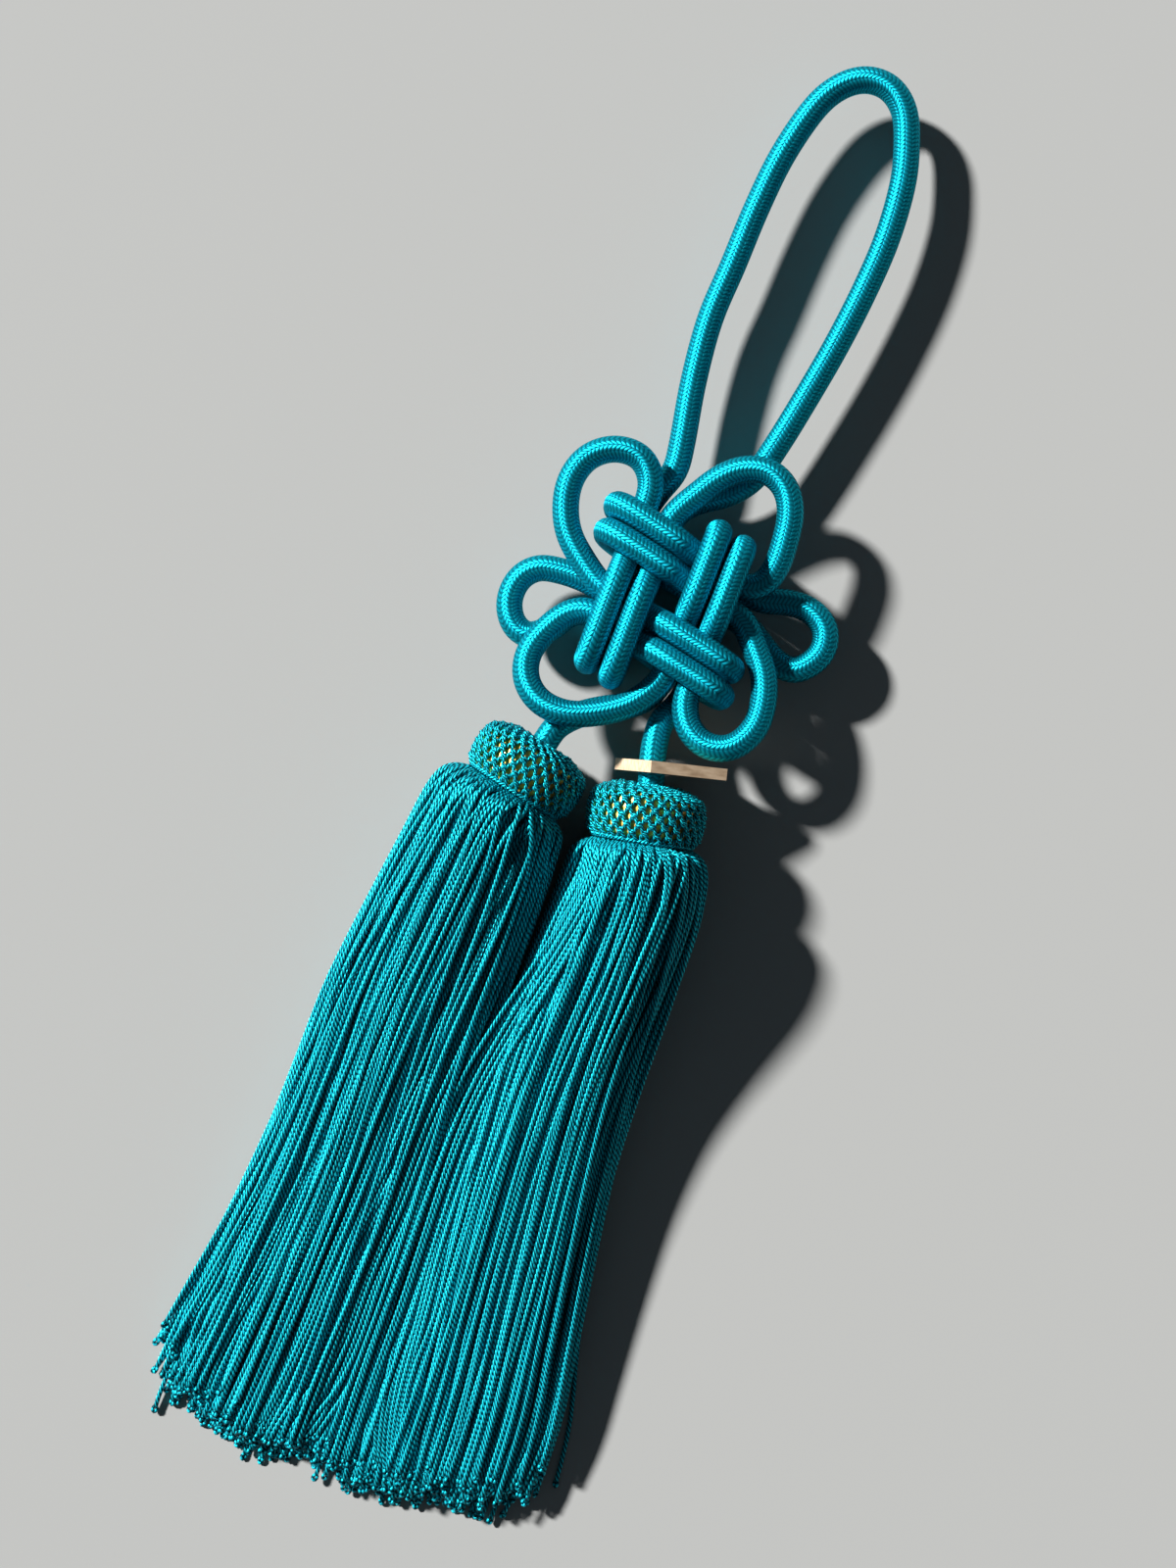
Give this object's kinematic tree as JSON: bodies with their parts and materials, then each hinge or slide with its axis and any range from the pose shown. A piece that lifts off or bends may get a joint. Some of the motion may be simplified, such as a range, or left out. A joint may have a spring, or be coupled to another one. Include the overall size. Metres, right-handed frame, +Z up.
{
  "type": "knotted tassel",
  "caption": "Flat knotted cord ornament with a long hanging loop, side ears and a pair of netted tassel heads with long twisted skirts, lying flat.",
  "frame": {"origin": "on the table surface under the middle of the whole object's box", "axes": "+Y from the skirts towards the hanging loop, +X to the right seen from above, +Z up from the surface it lies on"},
  "size_m": [0.082, 0.2946, 0.0254],
  "materials": {
    "cord_satin": "braided satin",
    "net_yarn": "twisted yarn",
    "fringe_yarn": "twisted yarn with a soft sheen",
    "gold_core": "bright gold",
    "tag_wood": "sanded, bare"
  },
  "bodies": {
    "root": {"knotted_cord": "cord_satin", "left_core": "gold_core", "right_core": "gold_core", "left_net": "net_yarn", "right_net": "net_yarn", "left_skirt": "fringe_yarn", "right_skirt": "fringe_yarn", "tag_plate": "tag_wood"}
  },
  "joints": []
}
